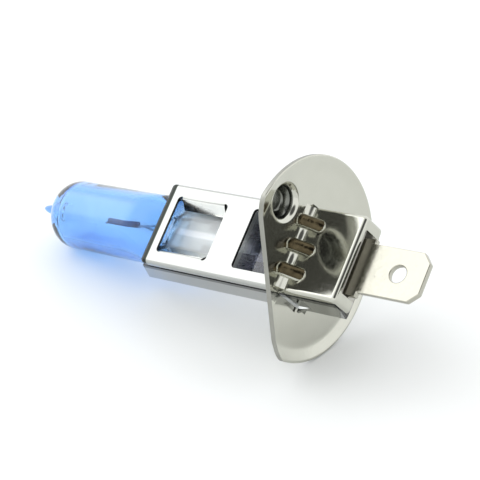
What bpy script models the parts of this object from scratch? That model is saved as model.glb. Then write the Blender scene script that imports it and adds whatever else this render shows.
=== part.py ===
"""Headlight bulb with a round flange, a folded sheet holder and one blade terminal.

Frame: +X runs along the lamp axis towards the glass tip, +Z is the side with the
windows and the hood, and the origin is the centre of the flange's front face.
"""
import math

import bmesh
import bpy
from mathutils import Matrix, Vector

MM = 0.001
GAP = 0.3 * MM                      # clearance between neighbouring solids

# Holder sheet metal
SHEET = 0.4 * MM                    # thickness of the folded shells
BEND = 0.35 * MM                    # bend radius at the middle of the sheet
HALF_WIDTH = 5.6 * MM               # outer half width of holder and hood
TOP = 3.2 * MM                      # outer top face of upper shell and hood
BOTTOM = -3.2 * MM                  # outer bottom face of the lower shell
SKIRT = 2.2 * MM                    # lower edge of the upper skirts
WALL_TOP = 1.7 * MM                 # upper edge of the lower shell's walls

# Places along the axis
UPPER_FRONT = 21.9 * MM
LOWER_FRONT_TOP = 22.3 * MM         # the lower shell's front edge slants forward,
LOWER_FRONT_BOTTOM = 24.5 * MM      # from its wall top to its bottom corner
LOWER_FLOOR_FRONT = 20.9 * MM       # its floor is cut away in front of this, for the tube
HOOD_REAR = -8.9 * MM
LOWER_REAR = -8.1 * MM
LOWER_REAR_BOTTOM = -7.0 * MM

# Windows in the upper shell (and the first one again in the lower shell)
CLAMP_WINDOW = (11.65 * MM, 19.9 * MM)
CLAMP_HALF = 3.9 * MM
LEAD_WINDOW = (1.0 * MM, 7.45 * MM)
LEAD_HALF = 4.0 * MM
WINDOW_CORNER = 0.5 * MM
TAB_DEPTH = 1.55 * MM               # how far the clamp tabs reach into the holder
TAB_LEAN = 1.2 * MM                 # and how far they lean inwards
TAB_SPAN = (12.3 * MM, 19.3 * MM)

# Flange
FLANGE_RADIUS = 12.7 * MM
FLANGE_FLAT_RADIUS = 10.9 * MM      # flat inside this circle, sloped outside it
FLANGE_SHEET = 0.7 * MM
RIM_SETBACK = 0.5 * MM
CHORD_DISTANCE = 7.5 * MM           # flat edge, from the axis
CHORD_CORNER = 2.6 * MM             # rounding where it meets the rim
CHORD_ANGLE = math.radians(45)      # its normal, from +Y towards +Z
DIMPLE_PLACE = (-3.6 * MM, 8.1 * MM)
DIMPLE_RADIUS = 2.4 * MM
DIMPLE_HOLLOW = 1.9 * MM
DIMPLE_HEIGHT = 1.5 * MM
BEAD_PLACES = (-3.2 * MM, 0.0, 3.2 * MM)
BEAD_RADIUS = 0.88 * MM
FILLET = 1.1 * MM                   # in the bend between flange and hood
LIP_BOTTOM = -0.9 * MM              # lower end of the hood's end lips
NOTCH_HALF = 4.1 * MM               # half width of the notch between the lips

# Glass
TUBE_RADIUS = 4.6 * MM
BORE_RADIUS = 3.5 * MM
TUBE_END = 37.9 * MM                # where the dome begins
DOME_END = 41.5 * MM
TIP_END = 45.0 * MM
TIP_RADIUS = 1.3 * MM
NECK = 26.4 * MM                    # tube is round in front of this
PINCH_FRONT = 18.6 * MM
PINCH_REAR = 3.6 * MM
PINCH_HALF_WIDTH = 4.75 * MM
PINCH_HALF_THICKNESS = 1.1 * MM
RIDGE_RADIUS = 1.7 * MM             # thick ridge along the middle of the pinch
CHANNEL_PLACE = 2.0 * MM            # wires and foils lie at this distance to each side
CHANNEL_HALF_WIDTH = 1.35 * MM
CHANNEL_HALF_HEIGHT = 0.55 * MM

# Filament and its wires
COIL_RADIUS = 0.36 * MM
COIL_WIRE = 0.11 * MM
COIL_REAR = 26.8 * MM
COIL_FRONT = 32.2 * MM
COIL_TURNS = 12
LEG_WIRE = 0.16 * MM
FOIL_SPAN = (6.6 * MM, 15.4 * MM)
FOIL_HALF_WIDTH = 1.0 * MM
FOIL_THICKNESS = 0.1 * MM
LEAD_WIRE = 0.3 * MM

# Terminal and insulators
BLADE_HALF_WIDTH = 3.15 * MM
BLADE_BASE_HALF = 3.75 * MM
BLADE_THICKNESS = 0.8 * MM
BLADE_TOP = 0.8 * MM
BLADE_END = -17.9 * MM
BLADE_BASE_FRONT = -1.6 * MM
BLADE_SHOULDER = -9.7 * MM
BLADE_CHAMFER = 1.2 * MM
BLADE_HOLE = (-14.2 * MM, 1.1 * MM)  # distance along the axis, radius
INSULATOR_SPAN = (-8.1 * MM, -1.0 * MM)
INSULATOR_HALF_WIDTH = 4.85 * MM


def make_material(name, colour, roughness, metallic, alpha=1.0):
    material = bpy.data.materials.new(name)
    material.use_nodes = True
    shader = material.node_tree.nodes["Principled BSDF"]
    shader.inputs["Base Color"].default_value = (*colour, 1.0)
    shader.inputs["Roughness"].default_value = roughness
    shader.inputs["Metallic"].default_value = metallic
    shader.inputs["Alpha"].default_value = alpha
    return material


def new_object(name, mesh, collection):
    obj = bpy.data.objects.new(name, mesh)
    collection.objects.link(obj)
    return obj


def mesh_from_bmesh(name, shape):
    bmesh.ops.recalc_face_normals(shape, faces=shape.faces)
    mesh = bpy.data.meshes.new(name)
    shape.to_mesh(mesh)
    shape.free()
    return mesh


def hide_helper(obj):
    """Helper solids cut or extend other pieces, and aren't pieces themselves."""
    obj.hide_render = True
    obj.display_type = "WIRE"
    return obj


def finish_piece(obj, material, sharp_angle=35):
    obj.data.materials.clear()
    obj.data.materials.append(material)
    obj.data.shade_smooth()
    obj.data.set_sharp_from_angle(angle=math.radians(sharp_angle))
    return obj


def box(name, x_span, y_span, z_span, collection):
    shape = bmesh.new()
    bmesh.ops.create_cube(shape, size=1.0)
    low, high = (Vector(corner) for corner in zip(x_span, y_span, z_span))
    bmesh.ops.scale(shape, vec=high - low, verts=shape.verts)
    bmesh.ops.translate(shape, vec=(low + high) / 2, verts=shape.verts)
    return new_object(name, mesh_from_bmesh(name, shape), collection)


def cylinder(name, start, end, radius, collection, segments=24, end_radius=None):
    """A cylinder or cone between two points."""
    start, end = Vector(start), Vector(end)
    shape = bmesh.new()
    last_radius = radius if end_radius is None else end_radius
    bmesh.ops.create_cone(shape, cap_ends=True, segments=segments, radius1=radius, radius2=last_radius,
                          depth=(end - start).length)
    turn = (end - start).to_track_quat("Z", "Y").to_matrix().to_4x4()
    bmesh.ops.transform(shape, matrix=Matrix.Translation((start + end) / 2) @ turn, verts=shape.verts)
    return new_object(name, mesh_from_bmesh(name, shape), collection)


def capsule(name, start, end, radius, collection):
    """A ball stretched along the line between two points."""
    start, end = Vector(start), Vector(end)
    shape = bmesh.new()
    bmesh.ops.create_uvsphere(shape, u_segments=16, v_segments=10, radius=radius)
    reach = (end - start).length / 2
    for vert in shape.verts:
        vert.co.z += reach if vert.co.z > 0 else -reach
    turn = (end - start).to_track_quat("Z", "Y").to_matrix().to_4x4()
    bmesh.ops.transform(shape, matrix=Matrix.Translation((start + end) / 2) @ turn, verts=shape.verts)
    return new_object(name, mesh_from_bmesh(name, shape), collection)


def add_bevel(obj, width, segments=2):
    bevel = obj.modifiers.new("rounded_edges", "BEVEL")
    bevel.width = width
    bevel.segments = segments
    bevel.limit_method = "ANGLE"
    return obj


def combine(obj, operation, others):
    for other in others:
        boolean = obj.modifiers.new(f"{operation.lower()}_{other.name}", "BOOLEAN")
        boolean.operation = operation
        boolean.solver = "EXACT"
        boolean.object = hide_helper(other)
    return obj


def rounded_path(points, radius, steps=3):
    """The points of a bent line, each inner corner replaced by an arc."""
    path = [Vector(points[0])]
    for before, corner, after in zip(points, points[1:], points[2:]):
        before, corner, after = Vector(before), Vector(corner), Vector(after)
        incoming = (before - corner).normalized()
        outgoing = (after - corner).normalized()
        half_angle = incoming.angle(outgoing) / 2
        bisector = (incoming + outgoing).normalized()
        centre = corner + bisector * radius / math.sin(half_angle)
        first = corner + incoming * radius / math.tan(half_angle)
        last = corner + outgoing * radius / math.tan(half_angle)
        for step in range(steps + 1):
            spoke = (first - centre).lerp(last - centre, step / steps)
            path.append(centre + spoke.normalized() * radius)
    path.append(Vector(points[-1]))
    return path


def rounded_outline(points, radius, steps=4):
    """A closed outline with every corner replaced by an arc."""
    ring = [points[-1], *points, points[0]]
    return rounded_path(ring, radius, steps)[1:-1]


def folded_sheet(name, path, x_span, collection, thickness=SHEET):
    """A bent sheet: a path in the YZ plane, swept along X and thickened both ways."""
    shape = bmesh.new()
    verts = [shape.verts.new((x_span[0], y, z)) for y, z in path]
    edges = [shape.edges.new(pair) for pair in zip(verts, verts[1:])]
    swept = bmesh.ops.extrude_edge_only(shape, edges=edges)["geom"]
    moved = [item for item in swept if isinstance(item, bmesh.types.BMVert)]
    bmesh.ops.translate(shape, vec=(x_span[1] - x_span[0], 0, 0), verts=moved)
    obj = new_object(name, mesh_from_bmesh(name, shape), collection)
    solidify = obj.modifiers.new("sheet_thickness", "SOLIDIFY")
    solidify.thickness = thickness
    solidify.offset = 0
    solidify.use_even_offset = True
    return obj


def flat_plate(name, outline, thickness, place, collection, holes=()):
    """A flat outline, extruded both ways. place maps its own XY plane into the model."""
    curve = bpy.data.curves.new(name, "CURVE")
    curve.dimensions = "2D"
    curve.fill_mode = "BOTH"
    curve.extrude = thickness / 2
    for points in (outline, *holes):
        spline = curve.splines.new("POLY")
        spline.points.add(len(points) - 1)
        spline.use_cyclic_u = True
        for slot, point in zip(spline.points, points):
            slot.co = (point[0], point[1], 0, 1)
    rough = new_object(f"{name}_outline", curve, collection)
    bpy.context.view_layer.update()
    evaluated = rough.evaluated_get(bpy.context.evaluated_depsgraph_get())
    mesh = bpy.data.meshes.new_from_object(evaluated)
    bpy.data.objects.remove(rough)
    shape = bmesh.new()
    shape.from_mesh(mesh)
    bmesh.ops.remove_doubles(shape, verts=shape.verts, dist=0.001 * MM)
    bmesh.ops.transform(shape, matrix=place, verts=shape.verts)
    return new_object(name, mesh_from_bmesh(name, shape), collection)


def wire(name, points, radius, collection):
    """A round wire along hand-placed points."""
    curve = bpy.data.curves.new(name, "CURVE")
    curve.dimensions = "3D"
    curve.bevel_depth = radius
    curve.bevel_resolution = 2
    curve.use_fill_caps = True
    spline = curve.splines.new("POLY")
    spline.points.add(len(points) - 1)
    for slot, point in zip(spline.points, points):
        slot.co = (*point, 1)
    return new_object(name, curve, collection)


def turned(name, profile, collection, steps=48):
    """A profile of (radius, distance along the axis) turned about the X axis."""
    shape = bmesh.new()
    verts = [shape.verts.new((radius, 0, along)) for radius, along in profile]
    for pair in zip(verts, verts[1:]):
        shape.edges.new(pair)
    mesh = bpy.data.meshes.new(name)
    shape.to_mesh(mesh)
    shape.free()
    obj = new_object(name, mesh, collection)
    obj.rotation_euler = (0, math.radians(90), 0)
    screw = obj.modifiers.new("turned", "SCREW")
    screw.steps = steps
    screw.render_steps = steps
    screw.use_merge_vertices = True
    screw.merge_threshold = 0.001 * MM
    return obj


# Outline X runs along the lamp axis and outline Y runs up the side.
ON_THE_SIDE = Matrix.Rotation(math.radians(90), 4, "X")


def side_outline(name, points, half_depth, collection):
    """An outline drawn in the XZ plane, extruded across the holder."""
    return flat_plate(name, points, 2 * half_depth, ON_THE_SIDE, collection)


def rectangle(x_span, y_span):
    return [(x_span[0], y_span[0]), (x_span[1], y_span[0]), (x_span[1], y_span[1]), (x_span[0], y_span[1])]


def window_cutter(name, x_span, half_width, top, collection):
    outline = rounded_outline(rectangle(x_span, (-half_width, half_width)), WINDOW_CORNER)
    return flat_plate(name, outline, 5 * SHEET, Matrix.Translation((0, 0, top)), collection)


def clamp_tabs(name, z_sign, collection):
    """Two tabs, bent from a window's long edges towards the pinch."""
    tabs = []
    level = z_sign * (TOP - SHEET / 2)
    for side in (-1, 1):
        root = side * (CLAMP_HALF + SHEET)
        corner = side * (CLAMP_HALF - SHEET / 2)
        points = [(root, level), (corner, level), (corner - side * TAB_LEAN, level - z_sign * TAB_DEPTH)]
        path = rounded_path(points, BEND)
        tabs.append(folded_sheet(f"{name}_{'near' if side > 0 else 'far'}", path, TAB_SPAN, collection))
    return tabs


def upper_shell(parts, helpers, steel):
    """The front cover: a shallow channel with two windows and two clamp tabs."""
    middle = TOP - SHEET / 2
    side = HALF_WIDTH - SHEET / 2
    path = rounded_path([(-side, SKIRT), (-side, middle), (side, middle), (side, SKIRT)], BEND)
    shell = folded_sheet("upper_shell", path, (GAP, UPPER_FRONT), parts)
    windows = [
        window_cutter("clamp_window", CLAMP_WINDOW, CLAMP_HALF, TOP, helpers),
        window_cutter("lead_window", LEAD_WINDOW, LEAD_HALF, TOP, helpers),
    ]
    combine(shell, "DIFFERENCE", windows)
    combine(shell, "UNION", clamp_tabs("upper_clamp_tab", 1, helpers))
    return finish_piece(shell, steel)


def lower_shell(parts, helpers, steel):
    """The long channel: it passes through the flange and carries the whole holder."""
    middle = BOTTOM + SHEET / 2
    side = HALF_WIDTH - SHEET / 2
    path = rounded_path([(-side, WALL_TOP), (-side, middle), (side, middle), (side, WALL_TOP)], BEND)
    shell = folded_sheet("lower_shell", path, (LOWER_REAR, LOWER_FRONT_BOTTOM), parts)
    beyond = 2 * MM
    slant = 0.5 * MM
    front = [
        (LOWER_FRONT_TOP - slant, WALL_TOP + beyond),
        (LOWER_FRONT_TOP, WALL_TOP),
        (LOWER_FRONT_BOTTOM, BOTTOM + slant),
        (LOWER_FRONT_BOTTOM + beyond, BOTTOM + slant),
        (LOWER_FRONT_BOTTOM + beyond, WALL_TOP + beyond),
    ]
    rear = [
        (LOWER_REAR - beyond, BOTTOM - beyond),
        (LOWER_REAR_BOTTOM, BOTTOM - beyond),
        (LOWER_REAR_BOTTOM, BOTTOM),
        (LOWER_REAR, 0.0),
        (LOWER_REAR - beyond, 0.0),
    ]
    cutters = [
        side_outline("front_slant", front, HALF_WIDTH + beyond, helpers),
        side_outline("rear_slant", rear, HALF_WIDTH + beyond, helpers),
        window_cutter("lower_clamp_window", CLAMP_WINDOW, CLAMP_HALF, BOTTOM, helpers),
        window_cutter("tube_recess", (LOWER_FLOOR_FRONT, LOWER_FRONT_BOTTOM + beyond), 4.9 * MM, BOTTOM, helpers),
    ]
    for number, x_span in enumerate(((19.0 * MM, 21.5 * MM), (8.0 * MM, 9.8 * MM)), 1):
        for side_name, y_span in (("near", (4.9 * MM, 6 * MM)), ("far", (-6 * MM, -4.9 * MM))):
            relief = box(f"relief_{number}_{side_name}", x_span, y_span, (BOTTOM - MM, BOTTOM + 0.5 * MM), helpers)
            cutters.append(relief)
    combine(shell, "DIFFERENCE", cutters)
    combine(shell, "UNION", clamp_tabs("lower_clamp_tab", -1, helpers))
    combine(shell, "UNION", flared_ears(helpers))
    return finish_piece(shell, steel)


def flared_ears(helpers):
    """Triangular ears bent out of the walls, which stop the flange from behind."""
    ears = []
    root = HALF_WIDTH - SHEET / 2
    for side in (-1, 1):
        outline = [(0.0, 0.0), (2.2 * MM, 0.0), (0.0, 1.0 * MM)]
        turn = Matrix.Translation((-FLANGE_SHEET - GAP, side * root, -1.6 * MM))
        mirror = Matrix.Diagonal((-1, side, 1, 1))
        ear = flat_plate(f"ear_{'near' if side > 0 else 'far'}", outline, SHEET, turn @ mirror, helpers)
        ears.append(ear)
    return ears


def flange_with_hood(parts, helpers, steel):
    """Round disc, and behind it the hood bent from the same sheet."""
    profile = [
        (0.0, 0.0),
        (FLANGE_FLAT_RADIUS, 0.0),
        (FLANGE_RADIUS, -RIM_SETBACK),
        (FLANGE_RADIUS, -RIM_SETBACK - FLANGE_SHEET),
        (FLANGE_FLAT_RADIUS, -FLANGE_SHEET),
        (0.0, -FLANGE_SHEET),
    ]
    flange = turned("flange", profile, parts, steps=72)
    opening_half = HALF_WIDTH + GAP
    opening = box("flange_opening", (-2 * MM, 2 * MM), (-opening_half, opening_half),
                  (BOTTOM - GAP, TOP - 1.2 * SHEET), helpers)
    combine(flange, "INTERSECT", [flange_outline(helpers)])
    combine(flange, "DIFFERENCE", [opening])
    combine(flange, "UNION", [hood(helpers)])
    add_dimple(flange, helpers)
    return finish_piece(flange, steel)


def flange_outline(helpers):
    """A prism a little wider than the disc, with the flat chord and its rounded corners."""
    outer = FLANGE_RADIUS + 0.2 * MM
    corner_angle = math.acos((CHORD_DISTANCE - CHORD_CORNER) / (outer - CHORD_CORNER))
    around = 48
    outline = []
    for step in range(around + 1):
        angle = corner_angle + (2 * math.pi - 2 * corner_angle) * step / around
        outline.append((outer * math.cos(angle), outer * math.sin(angle)))
    for sign in (-1, 1):
        centre = Vector((math.cos(corner_angle), sign * math.sin(corner_angle))) * (outer - CHORD_CORNER)
        for step in range(1, 6):
            angle = sign * corner_angle * (step / 6 if sign > 0 else 1 - step / 6)
            outline.append(tuple(centre + CHORD_CORNER * Vector((math.cos(angle), math.sin(angle)))))
    # Outline X points along the chord's normal, and outline Y along the chord.
    normal = Vector((0, math.cos(CHORD_ANGLE), math.sin(CHORD_ANGLE)))
    along = Vector((0, -math.sin(CHORD_ANGLE), math.cos(CHORD_ANGLE)))
    place = Matrix((normal, along, Vector((1, 0, 0)))).transposed().to_4x4()
    return flat_plate("flange_outline", outline, 6 * MM, place, helpers)


def hood(helpers):
    """Platform, skirts and end lips, hollowed from one rounded block."""
    block = box("hood", (HOOD_REAR, 3 * MM), (-HALF_WIDTH, HALF_WIDTH), (LIP_BOTTOM, TOP), helpers)
    add_bevel(block, BEND + SHEET / 2, 3)
    combine(block, "UNION", [bend_fillet(helpers), *beads(helpers), *corner_webs(helpers)])
    inner_half = HALF_WIDTH - SHEET
    hollow = box("hood_hollow", (HOOD_REAR + SHEET, 4 * MM), (-inner_half, inner_half), (-2 * MM, TOP - SHEET), helpers)
    below_skirts = box("hood_below_skirts", (HOOD_REAR + 0.9 * SHEET, 5 * MM), (-7 * MM, 7 * MM), (-3 * MM, SKIRT),
                       helpers)
    in_the_disc = box("hood_front_end", (-FLANGE_SHEET / 2, 6 * MM), (-8 * MM, 8 * MM), (-4 * MM, 8 * MM), helpers)
    notch_outline = rounded_outline(rectangle((-2 * MM, TOP - SHEET - BEND), (-NOTCH_HALF, NOTCH_HALF)), 0.3 * MM)
    upright = Matrix.Translation((HOOD_REAR, 0, 0)) @ Matrix.Rotation(math.radians(-90), 4, "Y")
    notch = flat_plate("hood_notch", notch_outline, 4 * SHEET, upright, helpers)
    return combine(block, "DIFFERENCE", [hollow, below_skirts, in_the_disc, notch])


def bend_fillet(helpers):
    """The inside of the bend: a concave quarter round along the flange."""
    root = (-FLANGE_SHEET, TOP)
    buried = 0.2 * MM
    steps = 5
    outline = [(root[0] + buried, root[1] - buried), (root[0] + buried, root[1] + FILLET)]
    for step in range(steps + 1):
        angle = math.radians(90) * step / steps
        outline.append((root[0] - FILLET + FILLET * math.cos(angle), root[1] + FILLET - FILLET * math.sin(angle)))
    outline.append((root[0] - FILLET, root[1] - buried))
    return side_outline("bend_fillet", outline, HALF_WIDTH - 0.6 * BEND, helpers)


def beads(helpers):
    """Three pressed beads that stiffen the bend."""
    return [
        capsule(f"bead_{number}", (-0.95 * MM, y, TOP + 0.85 * MM), (-2.85 * MM, y, TOP - 0.28 * MM), BEAD_RADIUS,
                helpers)
        for number, y in enumerate(BEAD_PLACES, 1)
    ]


def corner_webs(helpers):
    """Small triangular webs at both ends of the bend."""
    webs = []
    for side in (-1, 1):
        outline = [(0.0, 0.0), (1.9 * MM, 0.0), (0.0, 0.9 * MM)]
        place = Matrix.Translation((-FLANGE_SHEET / 3, side * (HALF_WIDTH - 1.2 * BEND), TOP - 0.6 * SHEET))
        mirror = Matrix.Diagonal((-1, side, 1, 1))
        webs.append(flat_plate(f"web_{'near' if side > 0 else 'far'}", outline, 0.9 * SHEET, place @ mirror, helpers))
    return webs


def add_dimple(flange, helpers):
    """A drawn cup: it stands out of the front face and is open behind."""
    y, z = DIMPLE_PLACE
    floor = DIMPLE_HEIGHT - SHEET
    dome = cylinder("dimple_dome", (-FLANGE_SHEET / 2, y, z), (DIMPLE_HEIGHT, y, z), DIMPLE_RADIUS, helpers,
                    end_radius=0.8 * DIMPLE_RADIUS)
    hollow = cylinder("dimple_hollow", (-2 * FLANGE_SHEET, y, z), (floor, y, z), 1.05 * DIMPLE_HOLLOW, helpers,
                      end_radius=0.75 * DIMPLE_HOLLOW)
    combine(flange, "UNION", [dome])
    combine(flange, "DIFFERENCE", [hollow])


def glass_section(along, half_width, half_height, squareness, segments=32):
    """Points of one cross-section: an ellipse that turns into a rounded bar."""
    ring = []
    for step in range(segments):
        angle = 2 * math.pi * (step + 0.5) / segments
        across, up = math.cos(angle), math.sin(angle)
        y = half_width * math.copysign(abs(across) ** squareness, across)
        z = half_height * math.copysign(abs(up) ** squareness, up)
        ring.append((along, y, z))
    return ring


def loft(name, sections, collection):
    """A closed skin through cross-sections with equal point counts."""
    shape = bmesh.new()
    rings = [[shape.verts.new(point) for point in section] for section in sections]
    for ring, following in zip(rings, rings[1:]):
        for index in range(len(ring)):
            after = (index + 1) % len(ring)
            shape.faces.new((ring[index], ring[after], following[after], following[index]))
    shape.faces.new(list(reversed(rings[0])))
    shape.faces.new(rings[-1])
    return new_object(name, mesh_from_bmesh(name, shape), collection)


def smooth_step(value):
    value = min(max(value, 0.0), 1.0)
    return value * value * (3 - 2 * value)


def glass_envelope(parts, helpers, glass):
    """Tube, dome and tip in front, flattened into the pinch behind."""
    sections = []
    pinch_to_tube = [PINCH_REAR, PINCH_FRONT]
    pinch_to_tube += [PINCH_FRONT + (NECK - PINCH_FRONT) * step / 6 for step in range(1, 7)]
    for along in pinch_to_tube:
        part = smooth_step((along - PINCH_FRONT) / (NECK - PINCH_FRONT))
        half_width = PINCH_HALF_WIDTH + (TUBE_RADIUS - PINCH_HALF_WIDTH) * part
        half_height = PINCH_HALF_THICKNESS + (TUBE_RADIUS - PINCH_HALF_THICKNESS) * part
        sections.append(glass_section(along, half_width, half_height, 0.35 + 0.65 * part))
    dome_height = DOME_END - TUBE_END
    for step in range(6):
        angle = math.radians(68) * step / 5
        radius = TUBE_RADIUS * math.cos(angle)
        sections.append(glass_section(TUBE_END + dome_height * math.sin(angle), radius, radius, 1.0))
    for along, radius in ((DOME_END, TIP_RADIUS), (DOME_END + 1.0 * MM, 0.7 * TIP_RADIUS), (TIP_END, 0.2 * TIP_RADIUS)):
        sections.append(glass_section(along, radius, radius, 1.0))
    envelope = loft("glass_envelope", sections, parts)

    cavity = [
        glass_section(NECK - 4.6 * MM, 3.6 * MM, 0.5 * MM, 0.6),
        glass_section(NECK - 3.0 * MM, BORE_RADIUS, 1.5 * MM, 0.8),
        glass_section(NECK - 0.5 * MM, BORE_RADIUS, BORE_RADIUS, 1.0),
    ]
    for step in range(5):
        angle = math.radians(75) * step / 4
        radius = BORE_RADIUS * math.cos(angle)
        cavity.append(glass_section(TUBE_END + (dome_height - MM) * math.sin(angle), radius, radius, 1.0))
    ridge = cylinder("pinch_ridge", (PINCH_REAR + MM, 0, 0), (PINCH_FRONT + MM, 0, 0), RIDGE_RADIUS, helpers, 20)
    ridge.scale = (1, 0.55, 1)
    combine(envelope, "UNION", [ridge])
    combine(envelope, "DIFFERENCE", [loft("glass_cavity", cavity, helpers)])
    channels = []
    for side, label in ((-1, "far"), (1, "near")):
        middle = side * CHANNEL_PLACE
        y_span = (middle - CHANNEL_HALF_WIDTH, middle + CHANNEL_HALF_WIDTH)
        z_span = (-CHANNEL_HALF_HEIGHT, CHANNEL_HALF_HEIGHT)
        channels.append(box(f"channel_{label}", (PINCH_REAR - MM, NECK - 2 * MM), y_span, z_span, helpers))
    combine(envelope, "DIFFERENCE", channels)
    return finish_piece(envelope, glass)


def coil_points():
    steps_per_turn = 10
    points = []
    for step in range(COIL_TURNS * steps_per_turn + 1):
        part = step / (COIL_TURNS * steps_per_turn)
        angle = 2 * math.pi * step / steps_per_turn
        along = COIL_REAR + (COIL_FRONT - COIL_REAR) * part
        points.append((along, COIL_RADIUS * math.cos(angle), COIL_RADIUS * math.sin(angle)))
    return points


def filament(parts, tungsten, molybdenum):
    """The coil and the two legs that carry it."""
    pieces = [(wire("filament_coil", coil_points(), COIL_WIRE, parts), tungsten)]
    into_pinch = FOIL_SPAN[1] + GAP
    gap = COIL_WIRE + LEG_WIRE + GAP
    below = -1.3 * MM
    long_leg = [
        (COIL_FRONT + gap, COIL_RADIUS, 0),
        (COIL_FRONT + gap + 0.5 * MM, 0.1 * MM, 0.4 * below),
        (COIL_FRONT + gap + 0.1 * MM, -0.4 * MM, 0.9 * below),
        (COIL_FRONT - 0.6 * MM, -0.45 * MM, below),
        (NECK + 1.6 * MM, -0.45 * MM, below),
        (NECK - 1.4 * MM, 0.5 * CHANNEL_PLACE, 0.6 * below),
        (NECK - 3.4 * MM, CHANNEL_PLACE, 0),
        (into_pinch, CHANNEL_PLACE, 0),
    ]
    short_leg = [
        (COIL_REAR - gap, -COIL_RADIUS, 0),
        (COIL_REAR - gap - 0.6 * MM, -COIL_RADIUS - 0.2 * MM, 0),
        (NECK - 3 * MM, -CHANNEL_PLACE, 0),
        (into_pinch, -CHANNEL_PLACE, 0),
    ]
    pieces.append((wire("filament_leg_long", long_leg, LEG_WIRE, parts), molybdenum))
    pieces.append((wire("filament_leg_short", short_leg, LEG_WIRE, parts), molybdenum))
    for obj, material in pieces:
        obj.data.materials.append(material)


def sealing_foils(parts, molybdenum):
    """Thin strips in the pinch: each joins a filament leg to an outer lead."""
    for side, name in ((-1, "foil_live"), (1, "foil_earth")):
        middle = side * CHANNEL_PLACE
        foil = box(name, FOIL_SPAN, (middle - FOIL_HALF_WIDTH, middle + FOIL_HALF_WIDTH),
                   (-FOIL_THICKNESS / 2, FOIL_THICKNESS / 2), parts)
        finish_piece(foil, molybdenum)


def outer_leads(parts, molybdenum, steel):
    """Wires from the pinch to the blade and to the lower shell, with their weld nuggets."""
    out_of_pinch = FOIL_SPAN[0] - GAP
    weld_height = 0.5 * MM
    above_blade = BLADE_TOP + 2 * GAP + weld_height / 2 + LEAD_WIRE
    live = [
        (out_of_pinch, -CHANNEL_PLACE, 0),
        (PINCH_REAR - 0.4 * MM, -CHANNEL_PLACE, 0),
        (1.6 * MM, -CHANNEL_PLACE, above_blade * 0.6),
        (0.6 * MM, -CHANNEL_PLACE, above_blade),
        (-2.6 * MM, -CHANNEL_PLACE, above_blade),
    ]
    low = BOTTOM + SHEET + 2 * GAP + weld_height / 2 + LEAD_WIRE
    earth = [
        (out_of_pinch, CHANNEL_PLACE, 0),
        (PINCH_REAR - 0.4 * MM, CHANNEL_PLACE, 0),
        (2.6 * MM, CHANNEL_PLACE + 0.6 * MM, low * 0.6),
        (2.0 * MM, CHANNEL_PLACE + 1.2 * MM, low),
        (0.2 * MM, CHANNEL_PLACE + 1.4 * MM, low),
    ]
    for name, points in (("outer_lead_live", live), ("outer_lead_earth", earth)):
        lead = wire(name, points, LEAD_WIRE, parts)
        lead.data.materials.append(molybdenum)
    nuggets = (
        ("weld_live", (-2.1 * MM, -CHANNEL_PLACE), above_blade - LEAD_WIRE - GAP),
        ("weld_earth", (0.9 * MM, CHANNEL_PLACE + 1.35 * MM), low - LEAD_WIRE - GAP),
    )
    for name, (x, y), top in nuggets:
        nugget = cylinder(name, (x, y, top - weld_height / 2), (x, y, top), 0.6 * MM, parts, 16)
        finish_piece(nugget, steel)


def blade_terminal(parts, steel):
    """Wide base between the insulators, shoulder, and the blade with its hole."""
    root = 0.5 * MM
    half = [
        (BLADE_BASE_FRONT, BLADE_BASE_HALF),
        (BLADE_SHOULDER, BLADE_BASE_HALF),
        (BLADE_SHOULDER - root, BLADE_HALF_WIDTH),
        (BLADE_END + BLADE_CHAMFER, BLADE_HALF_WIDTH),
        (BLADE_END, BLADE_HALF_WIDTH - BLADE_CHAMFER),
    ]
    outline = half + [(x, -y) for x, y in reversed(half)]
    centre, radius = BLADE_HOLE
    turns = 24
    hole = [
        (centre + radius * math.cos(2 * math.pi * step / turns), radius * math.sin(2 * math.pi * step / turns))
        for step in range(turns)
    ]
    place = Matrix.Translation((0, 0, BLADE_TOP - BLADE_THICKNESS / 2))
    blade = flat_plate("blade_terminal", outline, BLADE_THICKNESS, place, parts, holes=[hole])
    return finish_piece(add_bevel(blade, 0.12 * MM, 1), steel)


def insulators(parts, helpers, ceramic):
    """Two ceramic plates that hold the blade's base inside the hood."""
    y_span = (-INSULATOR_HALF_WIDTH, INSULATOR_HALF_WIDTH)
    upper = box("insulator_upper", (INSULATOR_SPAN[0], -4.0 * MM), y_span, (BLADE_TOP + GAP, TOP - SHEET - GAP), parts)
    lower_bottom = BOTTOM + SHEET + GAP
    lower = box("insulator_lower", INSULATOR_SPAN, y_span, (lower_bottom, BLADE_TOP - BLADE_THICKNESS - GAP), parts)
    below_lip = box("insulator_rear_step", (INSULATOR_SPAN[0] - MM, LOWER_REAR_BOTTOM + GAP), (-6 * MM, 6 * MM),
                    (BOTTOM, -1.6 * MM), helpers)
    combine(lower, "DIFFERENCE", [below_lip])
    for plate in (upper, lower):
        finish_piece(plate, ceramic)


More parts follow.
